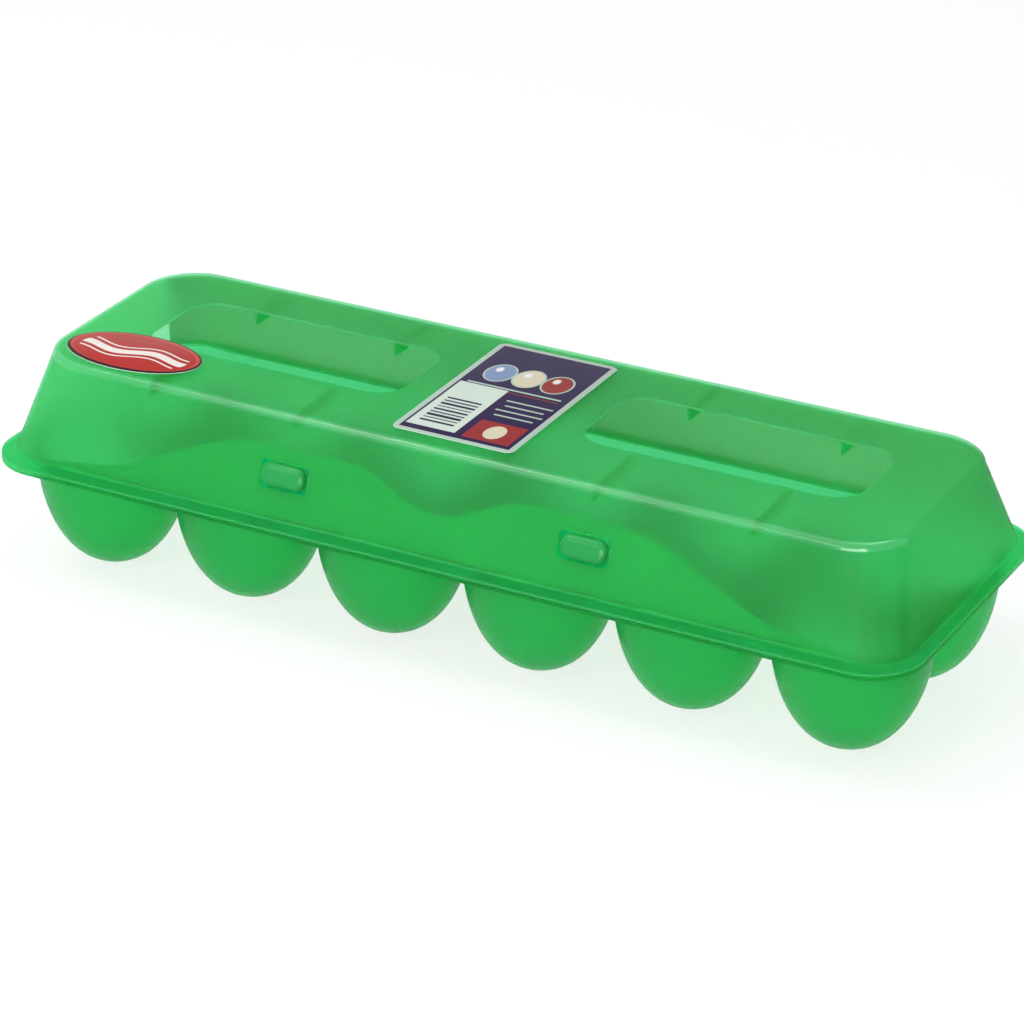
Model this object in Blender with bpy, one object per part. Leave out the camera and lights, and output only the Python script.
"""Reusable moulded carton for twelve eggs.

A tray of rounded cups carries a domed lid on a living hinge along its rear rim. A wavy flap on a
second living hinge stands behind the lid's front wall, and its two hollow catches reach out through
two slots in that wall. Two stickers lie on the lid.

Run it with blender --background --python part.py, or from Blender's text editor.
Frame: metres, +X along the rows of cups, the catches at -Y, the lid's hinge at +Y, +Z up. The origin
is under the middle of the carton, on the surface that the cups stand on.
"""

import math

import bmesh
import bpy
from mathutils import Matrix, Vector

# Cups: egg-shaped cups in two rows, each with a small flat foot
CUPS_PER_ROW = 6
ROWS = 2
CUP_RADIUS = 0.0234
CUP_DEPTH = 0.0374
CUP_GAP = 0.0022
ROW_GAP = 0.0008
CUP_ROUNDNESS = 2.2
FOOT_RADIUS = 0.0035
TRAY_WALL = 0.0009
CUP_LIP = 0.0006
CUP_ARC_STEPS = 4
CUP_RINGS = 5

# Saddles between neighbouring cups, and the hollow posts between every four cups
SADDLE_RADIUS = 0.0070
SADDLE_MARGIN = 0.0025
SADDLE_STEPS = 3
POST_BASE_RADIUS = 0.0085
POST_TOP_RADIUS = 0.0042
POST_HEIGHT = 0.0120
POST_ROUNDING = 0.0020
POST_SEGMENTS = 12
ROUNDING_STEPS = 2

# Rims: how far the flat edges of tray and lid reach past the lid's wall
RIM_END_OVERHANG = 0.0035
RIM_FRONT_OVERHANG = 0.0052
RIM_REAR_OVERHANG = 0.0039
RIM_CORNER_RADIUS = 0.0170
CORNER_STEPS = 6

# Lid: sloping walls, a rounded upper edge and a flat top
LID_WALL = 0.0009
LID_HEIGHT = 0.0305
LID_END_MARGIN = 0.0006
LID_SIDE_MARGIN = 0.0026
LID_END_DRAFT = 0.0066
LID_SIDE_DRAFT = 0.00895
LID_BASE_CORNER_RADIUS = 0.0130
LID_TOP_CORNER_RADIUS = 0.0178
LID_TOP_FILLET = 0.0022
FILLET_STEPS = 4

# Viewing windows in the top, and the ribs that stiffen the top beside them
WINDOW_LENGTH = 0.0870
WINDOW_WIDTH = 0.0360
WINDOW_SHIFT = 0.0025
WINDOW_CORNER_RADIUS = 0.0090
WINDOW_COLUMNS = (1, CUPS_PER_ROW - 2)
RIB_DEPTH = 0.0040
RIB_THICKNESS = 0.0010

# Latch flap: a wavy plate with two lobes, one round each catch, and long tapering ends
FLAP_WALL = 0.0008
FLAP_GAP = 0.0004
FLAP_END_MARGIN = 0.0175
FLAP_LOBE_MARGIN = 0.0047
FLAP_LOBE_INNER_REACH = 0.0200
FLAP_LOBE_OUTER_REACH = 0.0090
FLAP_DIP_HEIGHT = 0.0125
FLAP_TAIL_LENGTH = 0.0110
FLAP_TAIL_HEIGHT = 0.0030
FLAP_TIP_HEIGHT = 0.0015
FLAP_STATIONS = 72

# Catches: hollow rounded buttons on the flap
CATCH_LENGTH = 0.0144
CATCH_WIDTH = 0.0070
CATCH_HEIGHT_ON_FLAP = 0.0134
CATCH_COLUMNS = (1, CUPS_PER_ROW - 3)
CATCH_CORNER_RADIUS = 0.0029
CATCH_PROUD = 0.0016
CATCH_EDGE_ROUNDING = 0.0010
CATCH_WALL = 0.0008
SLOT_END_CLEARANCE = 0.0008
SLOT_SIDE_CLEARANCE = 0.0007

# Living hinges: the folded film of each is a slim round web on its axis
LID_HINGE_RADIUS = 0.0005
LID_HINGE_END_MARGIN = 0.0030
FLAP_HINGE_RADIUS = 0.00045
HINGE_SEGMENTS = 10

# Stickers
STICKER_THICKNESS = 0.0002
PANEL_LENGTH = 0.0395
PANEL_WIDTH = 0.0685
PANEL_CORNER_RADIUS = 0.0025
OVAL_LENGTH = 0.0450
OVAL_WIDTH = 0.0255
OVAL_END_INSET = 0.0026
OVAL_FRONT_INSET = 0.0005
OVAL_STEPS = 40

# General
CLEARANCE = 0.0003
OVERRUN = 0.0020
WELD = 0.000001
SMALL_TURN = math.radians(0.02)
SMOOTH_ANGLE = math.radians(35)

# Places that follow from the sizes above
CUP_PITCH = 2 * CUP_RADIUS + CUP_GAP
ROW_SPACING = 2 * CUP_RADIUS + ROW_GAP
TRAY_TOP = CUP_DEPTH + TRAY_WALL
LID_RIM_TOP = TRAY_TOP + CLEARANCE + LID_WALL
LID_TOP = LID_RIM_TOP + LID_HEIGHT
WALL_TOP = LID_TOP - LID_TOP_FILLET
CUPS_HALF_LENGTH = (CUPS_PER_ROW - 1) * CUP_PITCH / 2 + CUP_RADIUS
CUPS_HALF_WIDTH = (ROWS - 1) * ROW_SPACING / 2 + CUP_RADIUS
BASE_HALF_LENGTH = CUPS_HALF_LENGTH + LID_END_MARGIN
BASE_HALF_WIDTH = CUPS_HALF_WIDTH + LID_SIDE_MARGIN
TOP_HALF_LENGTH = BASE_HALF_LENGTH - LID_END_DRAFT
TOP_HALF_WIDTH = BASE_HALF_WIDTH - LID_SIDE_DRAFT
RIM_HALF_LENGTH = BASE_HALF_LENGTH + RIM_END_OVERHANG
RIM_FRONT = -BASE_HALF_WIDTH - RIM_FRONT_OVERHANG
RIM_REAR = BASE_HALF_WIDTH + RIM_REAR_OVERHANG
RIM_MIDDLE = (RIM_FRONT + RIM_REAR) / 2
RIM_HALF_WIDTH = (RIM_REAR - RIM_FRONT) / 2
CUP_COLUMNS = [(i - (CUPS_PER_ROW - 1) / 2) * CUP_PITCH for i in range(CUPS_PER_ROW)]
CUP_ROWS = [(i - (ROWS - 1) / 2) * ROW_SPACING for i in range(ROWS)]
WINDOW_MIDDLES = [CUP_COLUMNS[column] for column in WINDOW_COLUMNS]
CATCH_MIDDLES = [CUP_COLUMNS[column] + CUP_PITCH / 2 for column in CATCH_COLUMNS]

# The lid turns about the middle of the gap between the rims, just behind them
LID_HINGE_Y = RIM_REAR + CLEARANCE + LID_HINGE_RADIUS
LID_HINGE_Z = TRAY_TOP + CLEARANCE / 2
LID_HINGE_HALF_LENGTH = RIM_HALF_LENGTH - RIM_CORNER_RADIUS - LID_HINGE_END_MARGIN

# The flap stands just inside the lid's front wall and leans with it
WALL_LEAN = math.atan2(LID_SIDE_DRAFT, WALL_TOP - LID_RIM_TOP)
FLAP_HINGE_Z = TRAY_TOP + CLEARANCE + FLAP_HINGE_RADIUS
FLAP_HINGE_Y = (
    -BASE_HALF_WIDTH
    + (FLAP_HINGE_Z - LID_RIM_TOP) * math.tan(WALL_LEAN)
    + (LID_WALL + FLAP_GAP + FLAP_WALL / 2) / math.cos(WALL_LEAN)
)
FLAP_FOOT = FLAP_HINGE_RADIUS + CLEARANCE
FLAP_HALF_LENGTH = BASE_HALF_LENGTH - FLAP_END_MARGIN
FLAP_LOBE_HEIGHT = CATCH_HEIGHT_ON_FLAP + CATCH_WIDTH / 2 + FLAP_LOBE_MARGIN
FLAP_DIP_HALF_LENGTH = max(CATCH_MIDDLES) - FLAP_LOBE_INNER_REACH
FLAP_LOBE_END = max(CATCH_MIDDLES) + FLAP_LOBE_OUTER_REACH
FLAP_TAIL_START = FLAP_HALF_LENGTH - FLAP_TAIL_LENGTH


def clear_scene():
    for item in list(bpy.data.objects):
        bpy.data.objects.remove(item, do_unlink=True)


def make_material(name, colour, roughness, transmission=0.0):
    material = bpy.data.materials.new(name)
    material.use_nodes = True
    shader = material.node_tree.nodes["Principled BSDF"]
    shader.inputs["Base Color"].default_value = (*colour, 1.0)
    shader.inputs["Roughness"].default_value = roughness
    shader.inputs["Metallic"].default_value = 0.0
    shader.inputs["Transmission Weight"].default_value = transmission
    return material


def finish_mesh(name, bm, material=None):
    """Turns a bmesh into an object with smooth round faces and crisp edges."""
    bmesh.ops.remove_doubles(bm, verts=bm.verts, dist=WELD)
    mesh = bpy.data.meshes.new(name)
    bm.to_mesh(mesh)
    bm.free()
    mesh.shade_smooth()
    mesh.set_sharp_from_angle(angle=SMOOTH_ANGLE)
    if material:
        mesh.materials.append(material)
    item = bpy.data.objects.new(name, mesh)
    bpy.context.scene.collection.objects.link(item)
    return item


def as_helper(item):
    item.hide_render = True
    item.display_type = "WIRE"
    return item


def add_boolean(target, helper, operation):
    modifier = target.modifiers.new(helper.name, "BOOLEAN")
    modifier.operation = operation
    modifier.solver = "EXACT"
    modifier.object = as_helper(helper)


def loft(bm, sections):
    """Joins sections of equally many points into a closed body. Each section runs anticlockwise
    as seen from the far end."""
    loops = [[bm.verts.new(point) for point in section] for section in sections]
    for near, far in zip(loops, loops[1:]):
        for i in range(len(near)):
            j = (i + 1) % len(near)
            bm.faces.new((near[i], near[j], far[j], far[i]))
    bm.faces.new(reversed(loops[0]))
    bm.faces.new(loops[-1])


def rounded_loop(half_length, half_width, radius, height, middle=(0.0, 0.0)):
    """Points of a rectangle with round corners, anticlockwise from above."""
    corners = ((1, 1, 0), (-1, 1, 90), (-1, -1, 180), (1, -1, 270))
    points = []
    for side_x, side_y, start in corners:
        for step in range(CORNER_STEPS + 1):
            angle = math.radians(start + 90 * step / CORNER_STEPS)
            x = side_x * (half_length - radius) + radius * math.cos(angle)
            y = side_y * (half_width - radius) + radius * math.sin(angle)
            points.append((middle[0] + x, middle[1] + y, height))
    return points


def polar(middle, angle, radius, height):
    """A point at an angle and a distance round a middle, at a height."""
    x, y = middle
    return Vector((x + radius * math.cos(angle), y + radius * math.sin(angle), height))


def angle_round(middle, point):
    return math.atan2(point.y - middle[1], point.x - middle[0])


def turned_from(angle, direction):
    """How far an angle is turned from a direction, from 0 to half a turn."""
    return abs(math.remainder(angle - direction, math.tau))


def next_ring(bm, ring, place):
    """Extrudes a ring of edges and puts each new point where place() says. Returns the new ring."""
    made = bmesh.ops.extrude_edge_only(bm, edges=ring)["geom"]
    for vert in [item for item in made if isinstance(item, bmesh.types.BMVert)]:
        vert.co = place(vert.co)
    return [item for item in made if isinstance(item, bmesh.types.BMEdge)]


class TrayFace:
    """One face of the tray's sheet, at a depth of 0 for the face that the eggs touch, or of one
    wall for the face below. Every size of the lower face follows from the upper one's."""

    def __init__(self, depth):
        self.deck = TRAY_TOP - depth
        self.bottom = TRAY_WALL - depth
        self.cup_radius = CUP_RADIUS - TRAY_WALL + depth
        self.lip = CUP_LIP * (1 - depth / TRAY_WALL)
        self.mouth_radius = self.cup_radius + self.lip
        self.saddle_radius = SADDLE_RADIUS + depth
        saddle_half_width = math.sqrt(self.saddle_radius**2 - depth**2)
        self.saddle_angle = math.asin(saddle_half_width / self.mouth_radius)
        self.post_inset = depth

    def cup_radius_at(self, height):
        """The radius of the egg-shaped cup at a height: a curve a little squarer than an ellipse."""
        drop = (self.deck - height) / (self.deck - self.bottom)
        drop *= self.full_drop()
        angle = math.acos(min(max(drop, 0.0), 1.0) ** (CUP_ROUNDNESS / 2))
        return self.cup_radius * math.sin(angle) ** (2 / CUP_ROUNDNESS)

    def full_drop(self):
        """The drop of the whole curve that the flat foot cuts off, as a share of its height."""
        angle = math.asin((FOOT_RADIUS / self.cup_radius) ** (CUP_ROUNDNESS / 2))
        return math.cos(angle) ** (2 / CUP_ROUNDNESS)

    def mouth_height(self, angle, saddles):
        """The height of a cup's edge: the deck's, but lower where a saddle leads out of the cup."""
        for direction in saddles:
            turned = turned_from(angle, direction)
            if turned < self.saddle_angle - SMALL_TURN:
                aside = self.mouth_radius * math.sin(turned)
                sunk = math.sqrt(self.saddle_radius**2 - aside**2)
                return min(TRAY_TOP - sunk, self.deck)
        return self.deck

    def in_saddle(self, edge, middle, direction):
        """Whether an edge of a cup's ring lies under the saddle in a direction."""
        turns = [turned_from(angle_round(middle, vert.co), direction) for vert in edge.verts]
        return max(turns) < self.saddle_angle + SMALL_TURN

    def cup_angles(self):
        """Angles round a cup: the middle and the edge of each saddle, and steps between saddles."""
        angles = []
        for quarter in range(4):
            start = quarter * math.pi / 2
            gap = math.pi / 2 - 2 * self.saddle_angle
            angles.append(start)
            for step in range(CUP_ARC_STEPS + 1):
                angles.append(start + self.saddle_angle + gap * step / CUP_ARC_STEPS)
        return angles


def saddles_of(column, row):
    """The directions in which a cup has a neighbour, and so a saddle."""
    found = []
    if column < CUPS_PER_ROW - 1:
        found.append(0.0)
    if row < ROWS - 1:
        found.append(math.pi / 2)
    if column > 0:
        found.append(math.pi)
    if row > 0:
        found.append(-math.pi / 2)
    return found


def add_cup(bm, face, column, row):
    """One cup from its foot to its mouth, ring by ring. More points part the rings at the saddles."""
    middle = (CUP_COLUMNS[column], CUP_ROWS[row])
    saddles = saddles_of(column, row)
    angles = face.cup_angles()
    foot = bmesh.ops.create_circle(bm, cap_ends=True, segments=len(angles), radius=FOOT_RADIUS)
    for vert, angle in zip(foot["verts"], angles):
        vert.co = polar(middle, angle, FOOT_RADIUS, face.bottom)
    ring = list({edge for vert in foot["verts"] for edge in vert.link_edges})

    wall_top = TRAY_TOP - SADDLE_RADIUS - SADDLE_MARGIN
    for step in range(1, CUP_RINGS + 1):
        rise = 1 - math.cos(math.pi / 2 * step / CUP_RINGS)
        height = face.bottom + (wall_top - face.bottom) * rise
        radius = face.cup_radius_at(height)
        ring = next_ring(bm, ring, lambda p: polar(middle, angle_round(middle, p), radius, height))

    split = [edge for edge in ring if any(face.in_saddle(edge, middle, way) for way in saddles)]
    kept = [edge for edge in ring if edge not in split]
    parted = bmesh.ops.subdivide_edges(bm, edges=split, cuts=SADDLE_STEPS - 1)["geom_split"]
    ring = kept + [item for item in parted if isinstance(item, bmesh.types.BMEdge)]
    for vert in {vert for edge in ring for vert in edge.verts}:
        vert.co = polar(middle, angle_round(middle, vert.co), radius, height)

    def place_wall_top(point):
        angle = angle_round(middle, point)
        top = face.mouth_height(angle, saddles) - face.lip
        return polar(middle, angle, face.cup_radius_at(top), top)

    def place_mouth(point):
        angle = angle_round(middle, point)
        return polar(middle, angle, face.mouth_radius, face.mouth_height(angle, saddles))

    if face.lip:
        ring = next_ring(bm, ring, place_wall_top)
    return next_ring(bm, ring, place_mouth)


def add_saddle(bm, face, ring, column, row, direction):
    """Carries a cup's mouth across to the mouth of its neighbour in a direction."""
    middle = (CUP_COLUMNS[column], CUP_ROWS[row])
    mouth = [edge for edge in ring if face.in_saddle(edge, middle, direction)]
    if direction == 0.0:
        halfway = middle[0] + CUP_PITCH / 2
        next_ring(bm, mouth, lambda p: Vector((2 * halfway - p.x, p.y, p.z)))
    else:
        halfway = middle[1] + ROW_SPACING / 2
        next_ring(bm, mouth, lambda p: Vector((p.x, 2 * halfway - p.y, p.z)))


def add_post(bm, face, middle):
    """A tapering post with a rounded top, closed above and open to the deck around it."""
    inset = face.post_inset
    base = POST_BASE_RADIUS - inset
    circle = bmesh.ops.create_circle(bm, segments=POST_SEGMENTS, radius=base)["verts"]
    bmesh.ops.translate(bm, verts=circle, vec=(*middle, face.deck))
    first = list({edge for vert in circle for edge in vert.link_edges})
    ring = first
    top = TRAY_TOP + POST_HEIGHT - inset
    rounding = POST_ROUNDING - inset
    for step in range(ROUNDING_STEPS + 1):
        angle = math.pi / 2 * step / ROUNDING_STEPS
        radius = POST_TOP_RADIUS - inset - rounding * (1 - math.cos(angle))
        height = top - rounding * (1 - math.sin(angle))
        ring = next_ring(bm, ring, lambda p: polar(middle, angle_round(middle, p), radius, height))
    bmesh.ops.edgeloop_fill(bm, edges=ring)
    return first


def fill_deck(bm, face, rim, posts):
    """Fills the flat deck: first between every four cups, round their post, then out to the rim."""
    level = [
        edge
        for edge in bm.edges
        if edge.is_boundary and all(abs(v.co.z - face.deck) < WELD for v in edge.verts)
    ]
    level = [edge for edge in level if edge not in rim and not any(edge in p for p in posts)]
    for left, right, post in zip(CUP_COLUMNS, CUP_COLUMNS[1:], posts):

        def inside(edge):
            x, y, _ = (edge.verts[0].co + edge.verts[1].co) / 2
            return left < x < right and CUP_ROWS[0] < y < CUP_ROWS[-1]

        around = [edge for edge in level if inside(edge)]
        level = [edge for edge in level if edge not in around]
        bmesh.ops.triangle_fill(bm, use_beauty=True, edges=around + post)
    bmesh.ops.triangle_fill(bm, use_beauty=True, edges=level + rim)


def add_tray_face(bm, face, rim):
    for column in range(CUPS_PER_ROW):
        for row in range(ROWS):
            ring = add_cup(bm, face, column, row)
            for direction in saddles_of(column, row):
                if direction in (0.0, math.pi / 2):
                    add_saddle(bm, face, ring, column, row, direction)
    bmesh.ops.remove_doubles(bm, verts=bm.verts, dist=WELD)
    posts = [add_post(bm, face, (x + CUP_PITCH / 2, 0.0)) for x in CUP_COLUMNS[:-1]]
    fill_deck(bm, face, rim, posts)


def make_tray(material):
    """The lower half as a formed sheet: its upper and lower face, joined round the rim."""
    bm = bmesh.new()
    outline = rounded_loop(
        RIM_HALF_LENGTH, RIM_HALF_WIDTH, RIM_CORNER_RADIUS, TRAY_TOP, (0.0, RIM_MIDDLE)
    )
    verts = [bm.verts.new(point) for point in outline]
    upper_rim = [bm.edges.new(pair) for pair in zip(verts, verts[1:] + verts[:1])]
    drop = Vector((0.0, 0.0, TRAY_WALL))
    lower_rim = next_ring(bm, upper_rim, lambda p: p - drop)
    add_tray_face(bm, TrayFace(0.0), upper_rim)
    add_tray_face(bm, TrayFace(TRAY_WALL), lower_rim)
    bmesh.ops.recalc_face_normals(bm, faces=bm.faces)
    return finish_mesh("egg_tray", bm, material)


def make_lid_shell(material):
    """The upper half as one drawn sheet: rim, sloping wall, rounded edge and flat top."""
    sections = [
        rounded_loop(
            RIM_HALF_LENGTH, RIM_HALF_WIDTH, RIM_CORNER_RADIUS, LID_RIM_TOP, (0.0, RIM_MIDDLE)
        ),
        rounded_loop(BASE_HALF_LENGTH, BASE_HALF_WIDTH, LID_BASE_CORNER_RADIUS, LID_RIM_TOP),
    ]
    for step in range(FILLET_STEPS + 1):
        angle = math.pi / 2 * step / FILLET_STEPS
        inset = LID_TOP_FILLET * (1 - math.cos(angle))
        sections.append(
            rounded_loop(
                TOP_HALF_LENGTH - inset,
                TOP_HALF_WIDTH - inset,
                LID_TOP_CORNER_RADIUS - inset,
                WALL_TOP + LID_TOP_FILLET * math.sin(angle),
            )
        )
    bm = bmesh.new()
    loft(bm, sections)
    bm.faces.ensure_lookup_table()
    underside = min(bm.faces, key=lambda face: (face.normal.z, -len(face.verts)))
    bmesh.ops.delete(bm, geom=[underside], context="FACES_ONLY")
    lid = finish_mesh("lid", bm, material)
    shell = lid.modifiers.new("wall", "SOLIDIFY")
    shell.thickness = LID_WALL
    shell.offset = -1.0
    shell.use_even_offset = True
    return lid


def wall_half_width(height):
    """The half width of the lid's outer wall at a height."""
    share = (height - LID_RIM_TOP) / (WALL_TOP - LID_RIM_TOP)
    return BASE_HALF_WIDTH - LID_SIDE_DRAFT * share


def make_ribs():
    """Thin ribs across the top, two to a window and parted by it, above the gaps between cups."""
    upper = LID_TOP - LID_WALL / 2
    lower = LID_TOP - LID_WALL - RIB_DEPTH
    reach_up = TOP_HALF_WIDTH - LID_TOP_FILLET
    reach_low = wall_half_width(lower) - LID_WALL / 2
    outline = ((-reach_low, lower), (reach_low, lower), (reach_up, upper), (-reach_up, upper))
    bm = bmesh.new()
    for window in WINDOW_MIDDLES:
        for x in (window - CUP_PITCH / 2, window + CUP_PITCH / 2):
            loft(
                bm,
                [
                    [(x + side * RIB_THICKNESS / 2, y, z) for y, z in outline]
                    for side in (-1, 1)
                ],
            )
    return finish_mesh("rib_bars", bm)


def make_window_cutters():
    below = LID_TOP - LID_WALL - RIB_DEPTH - OVERRUN
    bm = bmesh.new()
    for x in WINDOW_MIDDLES:
        loft(
            bm,
            [
                rounded_loop(
                    WINDOW_LENGTH / 2,
                    WINDOW_WIDTH / 2,
                    WINDOW_CORNER_RADIUS,
                    level,
                    (x, WINDOW_SHIFT),
                )
                for level in (below, LID_TOP + OVERRUN)
            ],
        )
    return finish_mesh("window_cutters", bm)


def stand_on_flap(item):
    """Sets a body drawn flat (x along the flap, y up its slope, z outwards) on the flap's axis."""
    item.location = (0.0, FLAP_HINGE_Y, FLAP_HINGE_Z)
    item.rotation_euler = (math.pi / 2 - WALL_LEAN, 0.0, 0.0)
    return item


def make_slot_cutters():
    """The slots follow the catches, so they are cut square to the sloping wall."""
    inner = FLAP_WALL / 2
    outer = FLAP_WALL / 2 + FLAP_GAP + LID_WALL + OVERRUN
    bm = bmesh.new()
    for x in CATCH_MIDDLES:
        loft(
            bm,
            [
                rounded_loop(
                    CATCH_LENGTH / 2 + SLOT_END_CLEARANCE,
                    CATCH_WIDTH / 2 + SLOT_SIDE_CLEARANCE,
                    SLOT_SIDE_CLEARANCE,
                    level,
                    (x, CATCH_HEIGHT_ON_FLAP),
                )
                for level in (inner, outer)
            ],
        )
    return stand_on_flap(finish_mesh("slot_cutters", bm))


def make_lid(material):
    lid = make_lid_shell(material)
    add_boolean(lid, make_ribs(), "UNION")
    add_boolean(lid, make_window_cutters(), "DIFFERENCE")
    add_boolean(lid, make_slot_cutters(), "DIFFERENCE")
    axis = Vector((0.0, LID_HINGE_Y, LID_HINGE_Z))
    lid.data.transform(Matrix.Translation(-axis))
    lid.location = axis
    return lid


def ease(share):
    """A smooth rise from 0 to 1."""
    share = min(max(share, 0.0), 1.0)
    return 0.5 - 0.5 * math.cos(math.pi * share)


def flap_height(x):
    """The height of the flap's wavy edge above its hinge axis, at a place along it."""
    x = abs(x)
    if x < FLAP_DIP_HALF_LENGTH:
        rise = ease(x / FLAP_DIP_HALF_LENGTH)
        return FLAP_DIP_HEIGHT + (FLAP_LOBE_HEIGHT - FLAP_DIP_HEIGHT) * rise
    if x < FLAP_TAIL_START:
        fall = ease((x - FLAP_LOBE_END) / (FLAP_TAIL_START - FLAP_LOBE_END))
        return FLAP_LOBE_HEIGHT - (FLAP_LOBE_HEIGHT - FLAP_TAIL_HEIGHT) * fall
    share = (x - FLAP_TAIL_START) / (FLAP_HALF_LENGTH - FLAP_TAIL_START)
    return FLAP_TAIL_HEIGHT - (FLAP_TAIL_HEIGHT - FLAP_TIP_HEIGHT) * share


def catch_bodies(name, inset, inner, outer, rounding):
    """Rounded buttons drawn flat at both catches, from an inner to an outer level."""
    bm = bmesh.new()
    for x in CATCH_MIDDLES:
        sections = [
            rounded_loop(
                CATCH_LENGTH / 2 - inset,
                CATCH_WIDTH / 2 - inset,
                CATCH_CORNER_RADIUS - inset,
                inner,
                (x, CATCH_HEIGHT_ON_FLAP),
            )
        ]
        for step in range(ROUNDING_STEPS + 1):
            angle = math.pi / 2 * step / ROUNDING_STEPS
            pulled_in = inset + rounding * (1 - math.cos(angle))
            sections.append(
                rounded_loop(
                    CATCH_LENGTH / 2 - pulled_in,
                    CATCH_WIDTH / 2 - pulled_in,
                    CATCH_CORNER_RADIUS - pulled_in,
                    outer - rounding * (1 - math.sin(angle)),
                    (x, CATCH_HEIGHT_ON_FLAP),
                )
            )
        loft(bm, sections)
    return stand_on_flap(finish_mesh(name, bm))


def make_flap(material):
    """The wavy plate, its two catches and the pockets that make them hollow from behind."""
    bm = bmesh.new()
    sections = []
    for station in range(FLAP_STATIONS + 1):
        x = FLAP_HALF_LENGTH * (2 * station / FLAP_STATIONS - 1)
        back, front, edge = -FLAP_WALL / 2, FLAP_WALL / 2, flap_height(x)
        sections.append(
            [(x, FLAP_FOOT, back), (x, edge, back), (x, edge, front), (x, FLAP_FOOT, front)]
        )
    loft(bm, sections)
    flap = stand_on_flap(finish_mesh("front_latch_flap", bm, material))

    tip = FLAP_WALL / 2 + FLAP_GAP + LID_WALL + CATCH_PROUD
    shells = catch_bodies("catch_shells", 0.0, 0.0, tip, CATCH_EDGE_ROUNDING)
    add_boolean(flap, shells, "UNION")
    rounding = CATCH_EDGE_ROUNDING / 2
    behind = -FLAP_WALL / 2 - OVERRUN
    pockets = catch_bodies("catch_pockets", CATCH_WALL, behind, tip - CATCH_WALL, rounding)
    add_boolean(flap, pockets, "DIFFERENCE")
    return flap


def make_hinge_web(name, radius, half_length, y, z, material):
    """The folded film of a living hinge: a slim round web that lies on the hinge's axis."""
    bm = bmesh.new()
    bmesh.ops.create_cone(
        bm,
        cap_ends=True,
        segments=HINGE_SEGMENTS,
        radius1=radius,
        radius2=radius,
        depth=2 * half_length,
        matrix=Matrix.Rotation(math.pi / 2, 4, "Y"),
    )
    web = finish_mesh(name, bm, material)
    web.location = (0.0, y, z)
    return web


def make_sticker(name, outline, material):
    """A thin flat sticker from its outline of (x, y) points, just above the lid's top."""
    bm = bmesh.new()
    under = LID_TOP + CLEARANCE
    levels = (under, under + STICKER_THICKNESS)
    loft(bm, [[(x, y, level) for x, y in outline] for level in levels])
    return finish_mesh(name, bm, material)


def panel_outline():
    loop = rounded_loop(PANEL_LENGTH / 2, PANEL_WIDTH / 2, PANEL_CORNER_RADIUS, 0.0)
    return [(x, y) for x, y, _ in loop]


def oval_outline():
    """An ellipse set into the front left corner of the flat top."""
    x = -(TOP_HALF_LENGTH - LID_TOP_FILLET - OVAL_END_INSET - OVAL_LENGTH / 2)
    y = -(TOP_HALF_WIDTH - LID_TOP_FILLET - OVAL_FRONT_INSET - OVAL_WIDTH / 2)
    points = []
    for step in range(OVAL_STEPS):
        angle = math.tau * step / OVAL_STEPS
        across, along = math.cos(angle) * OVAL_LENGTH / 2, math.sin(angle) * OVAL_WIDTH / 2
        points.append((x + across, y + along))
    return points


def carry(carrier, item):
    """Parents an item to its carrier and keeps it where it is."""
    item.parent = carrier
    item.matrix_parent_inverse = Matrix.Translation(carrier.location).inverted()


def main():
    clear_scene()
    green = make_material("green_polypropylene", (0.055, 0.45, 0.13), 0.32, 0.35)
    flap_green = make_material("flap_polypropylene", (0.020, 0.38, 0.075), 0.35, 0.30)
    hinge_green = make_material("hinge_film", (0.10, 0.55, 0.20), 0.30, 0.45)
    panel_ink = make_material("panel_sticker_ink", (0.025, 0.012, 0.065), 0.40)
    oval_ink = make_material("oval_sticker_ink", (0.38, 0.02, 0.015), 0.35)

    tray = make_tray(green)
    lid = make_lid(green)
    flap = make_flap(flap_green)
    rear_web = make_hinge_web(
        "rear_hinge_web",
        LID_HINGE_RADIUS,
        LID_HINGE_HALF_LENGTH,
        LID_HINGE_Y,
        LID_HINGE_Z,
        hinge_green,
    )
    front_web = make_hinge_web(
        "front_hinge_web",
        FLAP_HINGE_RADIUS,
        FLAP_HALF_LENGTH,
        FLAP_HINGE_Y,
        FLAP_HINGE_Z,
        hinge_green,
    )
    for item in (lid, flap, rear_web, front_web):
        carry(tray, item)
    for name, outline, ink in (
        ("product_label", panel_outline(), panel_ink),
        ("oval_label", oval_outline(), oval_ink),
    ):
        carry(lid, make_sticker(name, outline, ink))


main()
